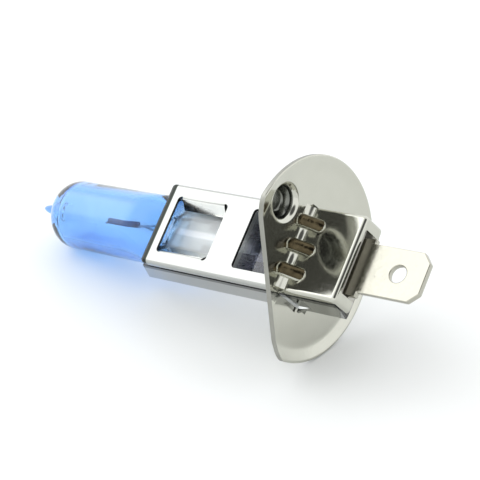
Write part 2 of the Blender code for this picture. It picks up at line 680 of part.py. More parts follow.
def build():
    for obj in list(bpy.data.objects):
        bpy.data.objects.remove(obj)
    parts = bpy.data.collections.new("headlight_bulb")
    helpers = bpy.data.collections.new("cutters")
    for collection in (parts, helpers):
        bpy.context.scene.collection.children.link(collection)

    shell_steel = make_material("shell_steel", (0.80, 0.80, 0.79), 0.12, 1.0)
    flange_steel = make_material("flange_steel", (0.66, 0.65, 0.61), 0.32, 1.0)
    blade_brass = make_material("blade_plated", (0.80, 0.78, 0.70), 0.3, 1.0)
    ceramic = make_material("ceramic", (0.72, 0.70, 0.66), 0.6, 0.0)
    blue_glass = make_material("blue_glass", (0.25, 0.52, 0.95), 0.03, 0.0, alpha=0.4)
    tungsten = make_material("tungsten", (0.16, 0.16, 0.18), 0.4, 1.0)
    molybdenum = make_material("molybdenum", (0.45, 0.45, 0.47), 0.3, 1.0)

    glass_envelope(parts, helpers, blue_glass)
    filament(parts, tungsten, molybdenum)
    sealing_foils(parts, molybdenum)
    outer_leads(parts, molybdenum, shell_steel)
    upper_shell(parts, helpers, shell_steel)
    lower_shell(parts, helpers, shell_steel)
    flange_with_hood(parts, helpers, flange_steel)
    insulators(parts, helpers, ceramic)
    blade_terminal(parts, blade_brass)


build()
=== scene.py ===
"""Headlight bulb lying on a white studio floor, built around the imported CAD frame.

Frame: +X runs along the lamp axis towards the glass tip, +Z is the side with the
windows and the hood, and the origin is the centre of the flange's front face.
"""
import math

import bmesh
import bpy
from mathutils import Matrix, Vector


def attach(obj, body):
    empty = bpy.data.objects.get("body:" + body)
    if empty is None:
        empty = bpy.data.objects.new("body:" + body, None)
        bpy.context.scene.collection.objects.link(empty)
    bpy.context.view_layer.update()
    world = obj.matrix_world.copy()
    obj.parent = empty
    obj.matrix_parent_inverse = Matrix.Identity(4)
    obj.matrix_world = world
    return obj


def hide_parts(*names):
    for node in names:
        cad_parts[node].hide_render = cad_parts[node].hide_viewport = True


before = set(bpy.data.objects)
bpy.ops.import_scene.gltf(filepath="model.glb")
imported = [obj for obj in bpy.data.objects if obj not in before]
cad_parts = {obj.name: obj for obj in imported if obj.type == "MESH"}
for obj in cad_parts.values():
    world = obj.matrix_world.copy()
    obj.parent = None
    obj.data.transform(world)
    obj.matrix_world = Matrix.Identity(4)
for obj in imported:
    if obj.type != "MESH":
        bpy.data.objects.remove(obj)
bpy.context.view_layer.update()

MM = 0.001

# The camera, as a place, a point it looks at and the direction that is up in its picture
CAMERA_PLACE = Vector((-123.2, 53.3, 156.5)) * MM
CAMERA_TARGET = Vector((7.7, 0.37, 3.2)) * MM
CAMERA_UP = Vector((0.145, -0.890, 0.432))
CAMERA_LENS = 128.2

# Sizes of the CAD pieces that are made again here with finer shapes
SHEET = 0.4 * MM
HALF_WIDTH = 5.6 * MM
TOP = 3.2 * MM
SKIRT = 2.2 * MM
HOOD_REAR = -8.9 * MM
HOOD_BEND = 0.55 * MM
FILLET = 1.1 * MM
LIP_BOTTOM = -0.9 * MM
NOTCH_HALF = 4.1 * MM
FLANGE_RADIUS = 12.7 * MM
FLANGE_SHEET = 0.7 * MM
RIM_START = 10.9 * MM
RIM_SETBACK = 0.5 * MM
CHORD_DISTANCE = 7.5 * MM
CHORD_CORNER = 2.6 * MM
CHORD_ANGLE = math.radians(45)
DIMPLE_PLACE = (-3.6 * MM, 8.1 * MM)
DIMPLE_MOUTH = 2.75 * MM
BEAD_PLACES = (-3.2 * MM, 0.0, 3.2 * MM)
BEAD_RADIUS = 0.88 * MM
BEAD_ENDS = ((-0.95 * MM, TOP + 0.85 * MM), (-2.85 * MM, TOP - 0.28 * MM))  # along the axis, and up
COVER_SPAN = (0.3 * MM, 21.9 * MM)
WINDOWS = (((11.65 * MM, 19.9 * MM), 3.9 * MM), ((1.0 * MM, 7.45 * MM), 4.0 * MM))  # span, half width
WINDOW_CORNER = 0.5 * MM
TAB_SPAN = (12.3 * MM, 19.3 * MM)
TAB_ROOT = 4.1 * MM
TAB_LEAN = 1.50 * MM
TAB_DEPTH = 1.76 * MM
TAB_BEND = 0.45 * MM
TAB_DROP = 0.015 * MM               # keeps the tab's root out of the plane of the cover's face
BLADE_SPAN = (-17.9 * MM, -1.6 * MM)
BLADE_HALF = 3.15 * MM
BLADE_BASE_HALF = 3.75 * MM
BLADE_SHOULDER = -9.7 * MM
BLADE_CORNER = 1.2 * MM
BLADE_THICKNESS = 0.8 * MM
BLADE_HOLE_PLACE = -14.2 * MM
BLADE_HOLE_RADIUS = 1.1 * MM
TUBE_RADIUS = 4.6 * MM
BORE_RADIUS = 3.5 * MM
TUBE_END = 37.9 * MM
DOME_END = 41.5 * MM
NECK = 26.4 * MM
PINCH_FRONT = 18.6 * MM
PINCH_REAR = 3.6 * MM
PINCH_HALF_WIDTH = 4.75 * MM
PINCH_HALF_THICKNESS = 1.1 * MM
TIP_SHAPE = ((41.5, 1.36), (41.9, 1.16), (42.4, 0.95), (43.1, 0.76),
             (43.8, 0.60), (44.4, 0.44), (44.8, 0.26), (45.0, 0.06))  # millimetres: along, radius
COIL_SPAN = (26.8 * MM, 32.2 * MM)
COIL_TURNS = 22
COIL_STEPS = 16                     # points in a turn
COIL_RADIUS = 0.31 * MM
COIL_WIRE = 0.09 * MM
LEG_WIRE = 0.14 * MM
LEG_FOOT = 15.7 * MM
LEG_SIDE = 2.0 * MM
LEG_BELOW = -1.3 * MM

# What each crossing of the glass's outer face does to light
PINCH_TINT = (0.64, 0.67, 0.66)
# Painted shade: a dark navy tint on the pinch's rear end stands in for the dark shell inside, seen
# through the rear window
REAR_PAINTED_SHADE = (0.40, 0.41, 0.55)
FILM_TINT = (0.20, 0.475, 0.95)
# Deeper film tint, used over the dome and, as painted shade, on the side facing the floor
DEEP_AND_SHADED_TINT = (0.115, 0.36, 0.84)
FILM_SHADOW = (0.33, 0.62, 0.97)
# Painted highlight: a near-white tint along the pinch's ridge stands in for the ridge's reflection
RIDGE_PAINTED_HIGHLIGHT = (0.97, 0.98, 0.98)
PINCH_SHADOW = (0.9, 0.91, 0.91)

# Where each tint of the glass gives way to the next
FILM_EDGE = (19.3 * MM, 21.4 * MM)
REAR_SHADE_EDGE = (7.6 * MM, 8.8 * MM)
DOME_EDGE = (39.4 * MM, 41.8 * MM)
RIDGE_HIGHLIGHT_EDGE = (0.30 * MM, 0.55 * MM)

# Painted dark bands on the two shells, each as an axis and where the band comes in: painted
# reflection across the cover's rolled front edge, and a painted shadow line along the lower shell's
# upper edge, just under the cover's skirts
COVER_PAINTED_REFLECTION = ("X", 20.8 * MM, 20.9 * MM)
SHELL_PAINTED_SHADOW = ("Z", 0.82 * MM, 0.90 * MM)
PAINTED_DARK_COLOUR = (0.035, 0.04, 0.035)

# The bulb lies on its flange's rim and on the end of the glass tube. The glass has begun to narrow
# there, so it stays a hair above the floor
FLOOR_SIDE = math.radians(-40)      # the floor's normal seen along the axis, from +Z towards +Y
RIM_TOUCH = (-0.6 * MM, 12.7 * MM)  # place along the axis and radius of the rim
GLASS_TOUCH = (38.6 * MM, 4.6 * MM)  # the same for the glass


def floor_frame():
    """The floor's normal, and a point of it."""
    (rim_x, rim_radius), (glass_x, glass_radius) = RIM_TOUCH, GLASS_TOUCH
    across = Vector((0, math.sin(FLOOR_SIDE), math.cos(FLOOR_SIDE)))
    rise = Vector((glass_x - rim_x, 0, 0)) - across * (glass_radius - rim_radius)
    normal = (across - rise * across.dot(rise) / rise.length_squared).normalized()
    touch = Vector((rim_x, 0, 0)) - across * rim_radius
    return normal, touch


FLOOR_NORMAL, FLOOR_POINT = floor_frame()
VIEW = (CAMERA_TARGET - CAMERA_PLACE).normalized()
AHEAD = (VIEW - FLOOR_NORMAL * VIEW.dot(FLOOR_NORMAL)).normalized()

# The studio is a light tent, with a brighter panel and a dim opening. Each has a direction, and an
# edge given as the cosine of the angle from that direction, from where it starts to where it is full
PANEL = Vector((0.628, -0.254, 0.735)).normalized()
PANEL_EDGE = (0.80, 0.95)
PANEL_GAIN = 1.1
OPENING = Vector((-0.72, -0.33, 0.60)).normalized()
OPENING_EDGE = (0.84, 0.94)
TENT = 1.39
DIM = 0.10
FLOOR_SIZE = 1.6                    # radius in metres


# ---------------------------------------------------------------- materials

def new_material(name):
    material = bpy.data.materials.new(name)
    material.use_nodes = True
    tree = material.node_tree
    return material, tree, tree.nodes["Principled BSDF"]


def add_noise(tree, scale, stretch=(1, 1, 1), detail=4.0):
    """Noise in the object's own metres, optionally stretched into streaks."""
    place = tree.nodes.new("ShaderNodeTexCoord")
    mapping = tree.nodes.new("ShaderNodeMapping")
    mapping.inputs["Scale"].default_value = stretch
    noise = tree.nodes.new("ShaderNodeTexNoise")
    noise.inputs["Scale"].default_value = scale
    noise.inputs["Detail"].default_value = detail
    tree.links.new(place.outputs["Object"], mapping.inputs["Vector"])
    tree.links.new(mapping.outputs["Vector"], noise.inputs["Vector"])
    return noise.outputs["Fac"]


def map_range(tree, value, low, high, start=0.3, end=0.7):
    node = tree.nodes.new("ShaderNodeMapRange")
    node.inputs["From Min"].default_value = start
    node.inputs["From Max"].default_value = end
    node.inputs["To Min"].default_value = low
    node.inputs["To Max"].default_value = high
    tree.links.new(value, node.inputs["Value"])
    return node.outputs["Result"]


def blend_colours(tree, factor, first, second):
    mix = tree.nodes.new("ShaderNodeMix")
    mix.data_type = "RGBA"
    for socket, colour in (("A", first), ("B", second)):
        if isinstance(colour, tuple):
            mix.inputs[socket].default_value = (*colour, 1)
        else:
            tree.links.new(colour, mix.inputs[socket])
    tree.links.new(factor, mix.inputs["Factor"])
    return mix.outputs["Result"]


def facing(tree, direction, vector):
    """The cosine of the angle between a direction and a fixed vector."""
    dot = tree.nodes.new("ShaderNodeVectorMath")
    dot.operation = "DOT_PRODUCT"
    dot.inputs[1].default_value = vector
    tree.links.new(direction, dot.inputs[0])
    return dot.outputs["Value"]


def calculate(tree, operation, *values):
    node = tree.nodes.new("ShaderNodeMath")
    node.operation = operation
    for index, value in enumerate(values):
        tree.links.new(value, node.inputs[index])
    return node.outputs["Value"]


def object_place(tree):
    """The place on the object in metres, as outputs X, Y and Z."""
    place = tree.nodes.new("ShaderNodeTexCoord")
    split = tree.nodes.new("ShaderNodeSeparateXYZ")
    tree.links.new(place.outputs["Object"], split.inputs["Vector"])
    return split.outputs


def mix_shaders(tree, factor, first, second, output):
    """Sends the first shader to the output where the factor is 0, and the second where it is 1."""
    mix = tree.nodes.new("ShaderNodeMixShader")
    tree.links.new(factor, mix.inputs["Fac"])
    tree.links.new(first, mix.inputs[1])
    tree.links.new(second, mix.inputs[2])
    tree.links.new(mix.outputs["Shader"], tree.nodes[output].inputs["Surface"])


def add_bump(tree, shader, height, strength, distance):
    bump = tree.nodes.new("ShaderNodeBump")
    bump.inputs["Strength"].default_value = strength
    bump.inputs["Distance"].default_value = distance
    tree.links.new(height, bump.inputs["Height"])
    tree.links.new(bump.outputs["Normal"], shader.inputs["Normal"])


def lean_upper_faces(tree, shader, lean):
    """Leans the shading normal of faces that point up, which moves what they mirror."""
    geometry = tree.nodes.new("ShaderNodeNewGeometry")
    height = facing(tree, geometry.outputs["True Normal"], (0, 0, 1))
    upward = map_range(tree, height, 0.0, 1.0, 0.97, 0.995)
    shift = tree.nodes.new("ShaderNodeVectorMath")
    shift.operation = "SCALE"
    shift.inputs[0].default_value = lean
    tree.links.new(upward, shift.inputs["Scale"])
    total = tree.nodes.new("ShaderNodeVectorMath")
    total.operation = "ADD"
    bump = shader.inputs["Normal"].links[0].from_socket
    tree.links.new(bump, total.inputs[0])
    tree.links.new(shift.outputs["Vector"], total.inputs[1])
    whole = tree.nodes.new("ShaderNodeVectorMath")
    whole.operation = "NORMALIZE"
    tree.links.new(total.outputs["Vector"], whole.inputs[0])
    tree.links.new(whole.outputs["Vector"], shader.inputs["Normal"])


def metal(name, bright, dull, roughness, bump_depth, grain_scale=3000, grain=(1, 1, 1),
          patch_scale=420, lean=None, painted_dark_band=None):
    """Plated metal: colour mottled from bright to dull, uneven polish and a fine grain."""
    material, tree, shader = new_material(name)
    shader.inputs["Metallic"].default_value = 1.0
    patches = add_noise(tree, patch_scale, detail=3)
    streaks = add_noise(tree, grain_scale, grain, detail=6)
    colour = blend_colours(tree, patches, bright, dull)
    # Past a given place along one axis the colour turns near-black: painted reflection on the cover,
    # painted shadow on the lower shell
    if painted_dark_band:
        axis, *edge = painted_dark_band
        inside = map_range(tree, object_place(tree)[axis], 0.0, 1.0, *edge)
        colour = blend_colours(tree, inside, colour, PAINTED_DARK_COLOUR)
    tree.links.new(colour, shader.inputs["Base Color"])
    tree.links.new(map_range(tree, streaks, *roughness), shader.inputs["Roughness"])
    add_bump(tree, shader, streaks, 0.35, bump_depth)
    if lean:
        lean_upper_faces(tree, shader, lean)
    return material


def ceramic():
    material, tree, shader = new_material("ceramic")
    grains = add_noise(tree, 2500, detail=5)
    colour = blend_colours(tree, grains, (0.60, 0.58, 0.53), (0.40, 0.39, 0.35))
    tree.links.new(colour, shader.inputs["Base Color"])
    shader.inputs["Roughness"].default_value = 0.6
    add_bump(tree, shader, grains, 0.4, 0.02 * MM)
    return material


def glass_tint(tree, place, rear, film):
    """The colour of the glass: a clear pinch with a painted highlight along its ridge and painted
    shade on its dark rear end, then the blue film, deeper over the dome and, as painted shade, on the
    side facing the floor.
    """
    # Painted highlight along the pinch's ridge
    ridge = map_range(tree, calculate(tree, "ABSOLUTE", place["Y"]), 1.0, 0.0, *RIDGE_HIGHLIGHT_EDGE)
    pinch = blend_colours(tree, ridge, PINCH_TINT, RIDGE_PAINTED_HIGHLIGHT)
    pinch = blend_colours(tree, rear, pinch, REAR_PAINTED_SHADE)
    geometry = tree.nodes.new("ShaderNodeNewGeometry")
    # Painted shade: the film turns deeper on the side facing the floor; it also turns deeper over the
    # dome
    downward = facing(tree, geometry.outputs["Normal"], -FLOOR_NORMAL)
    lower = map_range(tree, downward, 0.0, 1.0, 0.25, 0.95)
    dome = map_range(tree, place["X"], 0.0, 1.0, *DOME_EDGE)
    deeper_and_shaded = calculate(tree, "MAXIMUM", lower, dome)
    coating = blend_colours(tree, deeper_and_shaded, FILM_TINT, DEEP_AND_SHADED_TINT)
    return blend_colours(tree, film, pinch, coating)


def glass(name, tinted):
    """Quartz. The tinted one is the outside, where a blue film ends at a satin pinch."""
    material, tree, shader = new_material(name)
    shader.inputs["Transmission Weight"].default_value = 1.0
    shader.inputs["IOR"].default_value = 1.46
    shader.inputs["Coat Weight"].default_value = 0.6
    shader.inputs["Coat Roughness"].default_value = 0.03
    clear = tree.nodes.new("ShaderNodeBsdfTransparent")
    if tinted:
        place = object_place(tree)
        film = map_range(tree, place["X"], 0.0, 1.0, *FILM_EDGE)
        # Where the pinch's rear end takes its painted shade, and turns smooth and clear
        rear = map_range(tree, place["X"], 1.0, 0.0, *REAR_SHADE_EDGE)
        tree.links.new(glass_tint(tree, place, rear, film), shader.inputs["Base Color"])
        shadow = blend_colours(tree, film, PINCH_SHADOW, FILM_SHADOW)
        tree.links.new(shadow, clear.inputs["Color"])
        polish = calculate(tree, "MAXIMUM", film, rear)
        roughness = map_range(tree, polish, 0.42, 0.05, 0.0, 1.0)
        tree.links.new(roughness, shader.inputs["Roughness"])
        passed = map_range(tree, polish, 0.62, 1.0, 0.0, 1.0)
        tree.links.new(passed, shader.inputs["Transmission Weight"])
    else:
        shader.inputs["Base Color"].default_value = (0.97, 0.985, 1.0, 1)
        shader.inputs["Roughness"].default_value = 0.04
        clear.inputs["Color"].default_value = (0.99, 0.995, 1.0, 1)
    path = tree.nodes.new("ShaderNodeLightPath")
    mix_shaders(tree, path.outputs["Is Shadow Ray"], shader.outputs["BSDF"],
                clear.outputs["BSDF"], "Material Output")
    return material


# ---------------------------------------------------------------- studio

def make_world():
    """A white tent with a brighter panel and a dim opening. The camera sees it as plain white."""
    world = bpy.data.worlds.new("studio")
    bpy.context.scene.world = world
    world.use_nodes = True
    tree = world.node_tree
    background = tree.nodes["Background"]
    background.inputs["Color"].default_value = (0.98, 0.99, 1.0, 1)
    place = tree.nodes.new("ShaderNodeTexCoord")
    direction = place.outputs["Generated"]
    tent = map_range(tree, facing(tree, direction, PANEL), TENT, TENT + PANEL_GAIN, *PANEL_EDGE)
    opening = map_range(tree, facing(tree, direction, OPENING), 1.0, DIM, *OPENING_EDGE)
    for shape in (tent, opening):
        shape.node.interpolation_type = "SMOOTHSTEP"
    strength = calculate(tree, "MULTIPLY", tent, opening)
    tree.links.new(strength, background.inputs["Strength"])

    seen = tree.nodes.new("ShaderNodeBackground")
    seen.inputs["Color"].default_value = (1, 1, 1, 1)
    path = tree.nodes.new("ShaderNodeLightPath")
    mix_shaders(tree, path.outputs["Is Camera Ray"], background.outputs["Background"],
                seen.outputs["Background"], "World Output")


def aim(obj, place, target, up):
    """Places an object with its -Z axis towards the target and its +Y axis near up."""
    back = (place - target).normalized()
    right = up.cross(back).normalized()
    turn = Matrix((right, back.cross(right), back)).transposed()
    obj.matrix_world = Matrix.Translation(place) @ turn.to_4x4()


def make_floor():
    """A pale sheet that touches the rim and the glass. It shows only from above."""
    bpy.ops.mesh.primitive_circle_add(vertices=96, radius=FLOOR_SIZE, fill_type="NGON")
    floor = bpy.context.object
    floor.name = "floor"
    turn = Matrix((AHEAD.cross(FLOOR_NORMAL), AHEAD, FLOOR_NORMAL)).transposed().to_4x4()
    floor.matrix_world = Matrix.Translation(FLOOR_POINT) @ turn
    material, tree, shader = new_material("white_floor")
    shader.inputs["Base Color"].default_value = (0.86, 0.87, 0.86, 1)
    shader.inputs["Roughness"].default_value = 0.45
    below = tree.nodes.new("ShaderNodeBsdfTransparent")
    side = tree.nodes.new("ShaderNodeNewGeometry")
    mix_shaders(tree, side.outputs["Backfacing"], shader.outputs["BSDF"],
                below.outputs["BSDF"], "Material Output")
    floor.data.materials.append(material)


def make_camera():
    camera = bpy.data.cameras.new("camera")
    camera.lens = CAMERA_LENS
    camera.sensor_width = 36
    camera.clip_start = 0.01
    camera.clip_end = 10
    obj = bpy.data.objects.new("camera", camera)
    bpy.context.scene.collection.objects.link(obj)
    aim(obj, CAMERA_PLACE, CAMERA_TARGET, CAMERA_UP)
    bpy.context.scene.camera = obj


# ---------------------------------------------------------------- mesh tools

def new_object(name, mesh):
    obj = bpy.data.objects.new(name, mesh)
    bpy.context.scene.collection.objects.link(obj)
    return obj


def object_from(shape, name):
    bmesh.ops.recalc_face_normals(shape, faces=shape.faces)
    mesh = bpy.data.meshes.new(name)
    shape.to_mesh(mesh)
    shape.free()
    return new_object(name, mesh)


def box(name, x_span, y_span, z_span):
    shape = bmesh.new()
    bmesh.ops.create_cube(shape, size=1.0)
    low, high = (Vector(corner) for corner in zip(x_span, y_span, z_span))
    bmesh.ops.scale(shape, vec=high - low, verts=shape.verts)
    bmesh.ops.translate(shape, vec=(low + high) / 2, verts=shape.verts)
    return object_from(shape, name)


def capsule(name, start, end, radius):
    start, end = Vector(start), Vector(end)
    shape = bmesh.new()
    bmesh.ops.create_uvsphere(shape, u_segments=48, v_segments=24, radius=radius)
    reach = (end - start).length / 2
    for vert in shape.verts:
        vert.co.z += reach if vert.co.z > 0 else -reach
    turn = (end - start).to_track_quat("Z", "Y").to_matrix().to_4x4()
    bmesh.ops.transform(shape, matrix=Matrix.Translation((start + end) / 2) @ turn, verts=shape.verts)
    return object_from(shape, name)


def prism(name, outline, thickness, place):
    """An outline in its own XY plane, extruded both ways; place maps it into the model."""
    shape = bmesh.new()
    lower = [shape.verts.new((x, y, -thickness / 2)) for x, y in outline]
    upper = [shape.verts.new((x, y, thickness / 2)) for x, y in outline]
    shape.faces.new(list(reversed(lower)))
    shape.faces.new(upper)
    for index in range(len(outline)):
        after = (index + 1) % len(outline)
        shape.faces.new((lower[index], lower[after], upper[after], upper[index]))
    bmesh.ops.transform(shape, matrix=place, verts=shape.verts)
    return object_from(shape, name)


def turned(name, profile, steps, place=Matrix.Identity(4)):
    """A profile of (radius, distance along X) turned about the X axis."""
    shape = bmesh.new()
    rings = []
    for radius, along in profile:
        if radius == 0:
            rings.append([shape.verts.new((along, 0, 0))])
            continue
        ring = []
        for step in range(steps):
            angle = 2 * math.pi * step / steps
            y, z = radius * math.cos(angle), radius * math.sin(angle)
            ring.append(shape.verts.new((along, y, z)))
        rings.append(ring)
    for ring, following in zip(rings, rings[1:]):
        for index in range(steps):
            after = (index + 1) % steps
            corners = [ring[index % len(ring)], ring[after % len(ring)]]
            corners += [following[after % len(following)], following[index % len(following)]]
            shape.faces.new(list(dict.fromkeys(corners)))
    bmesh.ops.transform(shape, matrix=place, verts=shape.verts)
    return object_from(shape, name)


def drill(radius, steps, place):
    """A short round bar along X, to cut a hole with."""
    reach = 2 * MM
    return turned("hole", [(0, -reach), (radius, -reach), (radius, reach), (0, reach)], steps, place)


def remove(obj):
    bpy.data.objects.remove(obj, do_unlink=True)


def evaluated_mesh(obj):
    """A plain mesh of a curve, or of a mesh with its modifiers applied."""
    bpy.context.view_layer.update()
    depsgraph = bpy.context.evaluated_depsgraph_get()
    return bpy.data.meshes.new_from_object(obj.evaluated_get(depsgraph))


def apply_modifiers(obj):
    mesh = evaluated_mesh(obj)
    obj.modifiers.clear()
    obj.data = mesh


def combine(obj, operation, others):
    for other in others:
        boolean = obj.modifiers.new(operation, "BOOLEAN")
        boolean.operation = operation
        boolean.solver = "EXACT"
        boolean.object = other
    apply_modifiers(obj)
    for other in others:
        remove(other)


def round_edges(obj, width, segments, angle):
    bevel = obj.modifiers.new("rounded", "BEVEL")
    bevel.width = width
    bevel.segments = segments
    bevel.limit_method = "ANGLE"
    bevel.angle_limit = math.radians(angle)
    bevel.harden_normals = False
    apply_modifiers(obj)


def join(objects):
    """Puts several meshes into the first one's object."""
    shape = bmesh.new()
    for obj in objects:
        shape.from_mesh(obj.data)
    shape.to_mesh(objects[0].data)
    shape.free()
    for other in objects[1:]:
        remove(other)
    return objects[0]


def finish_piece(obj, name, node, material, sharp=32, flat_faces=True):
    """Names a visible piece, gives it its material, parents it to the root body and hides the CAD
    node it replaces.
    """
    obj.name = name
    obj.data.materials.clear()
    obj.data.materials.append(material)
    obj.data.shade_smooth()
    obj.data.set_sharp_from_angle(angle=math.radians(sharp))
    if flat_faces:
        weighted = obj.modifiers.new("flat_faces", "WEIGHTED_NORMAL")
        weighted.keep_sharp = True
        weighted.weight = 100
        apply_modifiers(obj)
    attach(obj, "root")
    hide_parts(node)
    return obj


def arc(centre, radius, start, end, steps):
    """Points of an arc, angles in degrees."""
    points = []
    for step in range(steps + 1):
        angle = math.radians(start + (end - start) * step / steps)
        points.append((centre[0] + radius * math.cos(angle), centre[1] + radius * math.sin(angle)))
    return points


def smooth_step(value):
    value = min(max(value, 0.0), 1.0)
    return value * value * (3 - 2 * value)


# ---------------------------------------------------------------- flange and hood

def rim_profile():
    """Front and back of the disc: flat in the middle, with a softly sloped rim and rounded edges."""
    blend = 0.9 * MM
    step = 0.1 * MM
    radius, level = RIM_START - blend / 2, 0.0
    face = [(0.0, 0.0), (radius, 0.0)]
    while radius < FLANGE_RADIUS - 0.3 * MM:
        slope = smooth_step((radius + step / 2 - RIM_START + blend / 2) / blend)
        radius += step
        level -= slope * step * RIM_SETBACK / (FLANGE_RADIUS - RIM_START)
        face.append((radius, level))
    edge = 0.16 * MM
    middle = FLANGE_RADIUS - edge
    front = arc((middle, level - edge), edge, 90, 0, 4)
    back = arc((middle, level - FLANGE_SHEET + edge), edge, 0, -90, 4)
    rear_face = [(r, x - FLANGE_SHEET) for r, x in reversed(face)]
    return face + front + back + rear_face


def flange_outline():
    """A thick round plate with one flat edge, which trims the disc."""
    outer = FLANGE_RADIUS + 0.2 * MM
    reach = outer - CHORD_CORNER
    corner = math.acos((CHORD_DISTANCE - CHORD_CORNER) / reach)
    outline = arc((0, 0), outer, math.degrees(corner), 360 - math.degrees(corner), 160)
    for sign in (-1, 1):
        centre = (reach * math.cos(corner), sign * reach * math.sin(corner))
        start, end = (-math.degrees(corner), 0) if sign < 0 else (0, math.degrees(corner))
        outline += arc(centre, CHORD_CORNER, start, end, 16)[1:-1]
    normal = Vector((0, math.cos(CHORD_ANGLE), math.sin(CHORD_ANGLE)))
    along = Vector((0, -math.sin(CHORD_ANGLE), math.cos(CHORD_ANGLE)))
    place = Matrix((normal, along, Vector((1, 0, 0)))).transposed().to_4x4()
    return prism("flange_outline", outline, 6 * MM, place)


def dimple():
    """A drawn cup with a wide rounded mouth on the back face."""
    depth, height = 1.05 * MM, 1.48 * MM
    back = -FLANGE_SHEET
    inside = [(0.0, depth), (1.1 * MM, depth)]
    inside += arc((1.1 * MM, depth - 0.35 * MM), 0.35 * MM, 80, 0, 5)
    inside += arc((DIMPLE_MOUTH, back + 0.9 * MM), 0.9 * MM, 180, 270, 12)
    outside = [(DIMPLE_MOUTH, 0.0), (2.5 * MM, 0.0)]
    outside += arc((1.65 * MM, height - 0.6 * MM), 0.6 * MM, 0, 90, 6)
    outside += [(0.0, height)]
    place = Matrix.Translation((0, *DIMPLE_PLACE))
    return turned("dimple", inside + outside, 96, place)


def hood():
    """Platform, skirts, end lips, beads and webs, hollowed from one rounded block."""
    block = box("hood", (HOOD_REAR, 3 * MM), (-HALF_WIDTH, HALF_WIDTH), (LIP_BOTTOM, TOP))
    round_edges(block, HOOD_BEND, 8, 30)
    root_x, root_z = -FLANGE_SHEET, TOP
    buried = 0.2 * MM
    outline = [(root_x + buried, root_z - buried), (root_x + buried, root_z + FILLET)]
    outline += arc((root_x - FILLET, root_z + FILLET), FILLET, 0, -90, 16)
    outline += [(root_x - FILLET, root_z - buried)]
    upright = Matrix.Rotation(math.radians(90), 4, "X")
    additions = [prism("bend_fillet", outline, 2 * (HALF_WIDTH - 0.22 * MM), upright)]
    for y in BEAD_PLACES:
        start, end = ((x, y, z) for x, z in BEAD_ENDS)
        additions.append(capsule("bead", start, end, BEAD_RADIUS))
    for side in (-1, 1):
        triangle = [(0.0, 0.0), (1.9 * MM, 0.0), (0.0, 0.9 * MM)]
        if side > 0:
            triangle = [(x, y) for x, y in reversed(triangle)]
        root = (-FLANGE_SHEET / 3, side * (HALF_WIDTH - 0.42 * MM), TOP - 0.24 * MM)
        place = Matrix.Translation(root) @ Matrix.Diagonal((-1, side, 1, 1))
        additions.append(prism("web", triangle, 0.36 * MM, place))
    combine(block, "UNION", additions)
    inner = HALF_WIDTH - SHEET
    cutters = [
        box("hollow", (HOOD_REAR + SHEET, 4 * MM), (-inner, inner), (-2 * MM, TOP - SHEET)),
        box("below", (HOOD_REAR + 0.9 * SHEET, 5 * MM), (-7 * MM, 7 * MM), (-3 * MM, SKIRT)),
        box("front", (-FLANGE_SHEET / 2, 6 * MM), (-8 * MM, 8 * MM), (-4 * MM, 8 * MM)),
    ]
    notch_top = TOP - SHEET - 0.35 * MM
    corner = 0.3 * MM
    outline = [(-3 * MM, -NOTCH_HALF), (-3 * MM, NOTCH_HALF)]
    outline += arc((notch_top - corner, NOTCH_HALF - corner), corner, 90, 0, 5)
    outline += arc((notch_top - corner, -NOTCH_HALF + corner), corner, 0, -90, 5)
    rear = Matrix.Translation((HOOD_REAR, 0, 0)) @ Matrix.Rotation(math.radians(-90), 4, "Y")
    cutters.append(prism("notch", outline, 4 * SHEET, rear))
    combine(block, "DIFFERENCE", cutters)
    return block


def flange_with_hood(material, edge_material, tarnish, cup_shade_metal):
    disc = turned("disc", rim_profile(), 160)
    combine(disc, "INTERSECT", [flange_outline()])
    hole = drill(2.74 * MM, 96, Matrix.Translation((0, *DIMPLE_PLACE)))
    opening_half = HALF_WIDTH + 0.3 * MM
    opening = box("opening", (-2 * MM, 2 * MM), (-opening_half, opening_half),
                  (-3.5 * MM, TOP - 1.2 * SHEET))
    combine(disc, "DIFFERENCE", [opening, hole])
    round_edges(disc, 0.12 * MM, 3, 50)
    cover = hood()
    round_edges(cover, 0.06 * MM, 2, 50)
    whole = join([disc, cover, dimple()])
    piece = finish_piece(whole, "flange_and_hood", "flange", material)
    paint_faces(piece, flange_edge, edge_material)
    paint_faces(piece, bead_face, tarnish)
    paint_faces(piece, dimple_painted_shade, cup_shade_metal)
    return piece


def bead_face(centre, normal):
    """True along the top of the three beads."""
    across = min(abs(centre.y - place) for place in BEAD_PLACES)
    along = -4.2 * MM < centre.x < -0.8 * MM
    return along and across < 0.70 * MM and TOP + 0.1 * MM < centre.z < TOP + 2.2 * MM


def from_dimple(centre):
    """The distance from the dimple's middle, across the disc."""
    return math.hypot(centre.y - DIMPLE_PLACE[0], centre.z - DIMPLE_PLACE[1])


def dimple_painted_shade(centre, normal):
    """True inside the dimple, which gets painted shade."""
    return from_dimple(centre) < 1.95 * MM and normal.x < 0.3


def flange_edge(centre, normal):
    """True on the sheared edge around the disc, painted darker than the face: partly its rougher cut
    finish, partly painted shade.
    """
    outer = math.hypot(centre.y, centre.z) > 7.2 * MM and from_dimple(centre) > 2.8 * MM
    return outer and abs(normal.x) < 0.55 and centre.x > -1.35 * MM


# ---------------------------------------------------------------- glass and filament

def glass_section(shape, along, half_width, half_height, squareness, ridge=0.0, segments=96):
    """A ring of points: an ellipse at squareness 1, squarer below, with a ridge on its middle."""
    ring = []
    for step in range(segments):
        angle = 2 * math.pi * (step + 0.5) / segments
        across, up = math.cos(angle), math.sin(angle)
        y = half_width * math.copysign(abs(across) ** squareness, across)
        z = half_height * math.copysign(abs(up) ** squareness, up)
        z *= 1 + ridge * math.exp(-(y / (0.75 * MM)) ** 2)
        ring.append(shape.verts.new((along, y, z)))
    return ring


